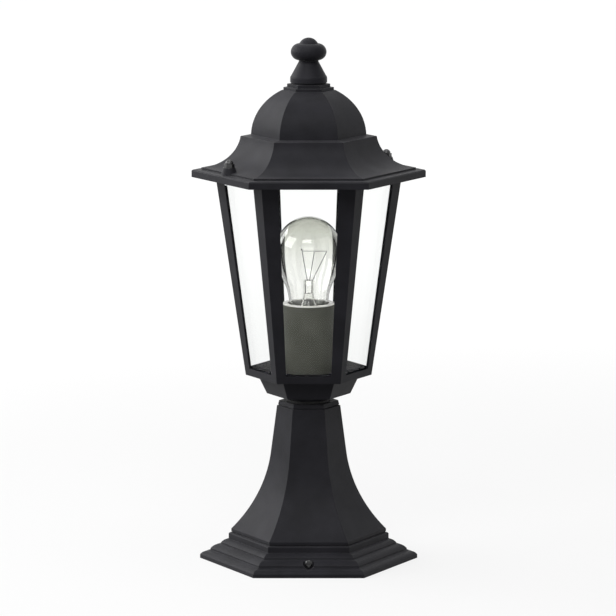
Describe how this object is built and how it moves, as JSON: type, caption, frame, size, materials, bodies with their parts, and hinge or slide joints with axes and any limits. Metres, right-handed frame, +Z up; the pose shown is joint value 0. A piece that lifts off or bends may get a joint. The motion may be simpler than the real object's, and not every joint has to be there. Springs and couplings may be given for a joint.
{
  "type": "garden post lamp",
  "caption": "Six-sided outdoor pedestal lantern with clear panes, a domed ogee roof with a turned finial, a flared foot on a stepped plinth and a screw-in bulb.",
  "frame": {"origin": "centre of the plinth's underside, on the ground", "axes": "+Z up through the finial, -Y towards the front face with the plinth screw, +X to the right"},
  "size_m": [0.1772, 0.1536, 0.4],
  "materials": {
    "black_casting": "satin black powder coat on die-cast aluminium",
    "pane_glass": "clear float glass",
    "bulb_glass": "clear thin blown glass",
    "black_fastener": "black coated steel",
    "zinc_steel": "zinc plated steel",
    "brass": "plain brass",
    "bulb_metal": "pressed aluminium",
    "filament": "drawn wire",
    "holder_plastic": "dark grey moulded plastic",
    "white_insulator": "glazed white insulator",
    "black_insulator": "black glass insulator",
    "gasket_rubber": "soft black rubber",
    "lead_brown": "brown insulation",
    "lead_blue": "blue insulation",
    "lead_green": "green and yellow insulation"
  },
  "bodies": {
    "root": {"pedestal": "black_casting", "cup": "black_casting", "cage": "black_casting", "roof": "black_casting", "finial": "black_casting", "pane_front": "pane_glass", "pane_front_right": "pane_glass", "pane_back_right": "pane_glass", "pane_back": "pane_glass", "pane_back_left": "pane_glass", "pane_front_left": "pane_glass", "bulb_glass": "bulb_glass", "bulb_stem": "bulb_glass", "cap_nuts": "black_fastener", "cap_washers": "black_fastener", "bracket_screws": "black_fastener", "mounting_bracket": "zinc_steel", "roof_studs": "zinc_steel", "tube_nut": "zinc_steel", "tube_washer": "zinc_steel", "threaded_tube": "zinc_steel", "finial_nut": "zinc_steel", "finial_washer": "zinc_steel", "block_screws": "zinc_steel", "earth_screw": "zinc_steel", "holder_screw_shell": "brass", "holder_contact": "brass", "terminal_screws": "brass", "bulb_cap": "bulb_metal", "bulb_contact": "bulb_metal", "bulb_wires": "filament", "bulb_filament": "filament", "holder_sleeve": "holder_plastic", "holder_base": "holder_plastic", "holder_insert": "white_insulator", "terminal_block": "white_insulator", "bulb_insulator": "black_insulator", "neck_gasket": "gasket_rubber", "lead_live": "lead_brown", "lead_neutral": "lead_blue", "lead_earth": "lead_green"}
  },
  "joints": []
}
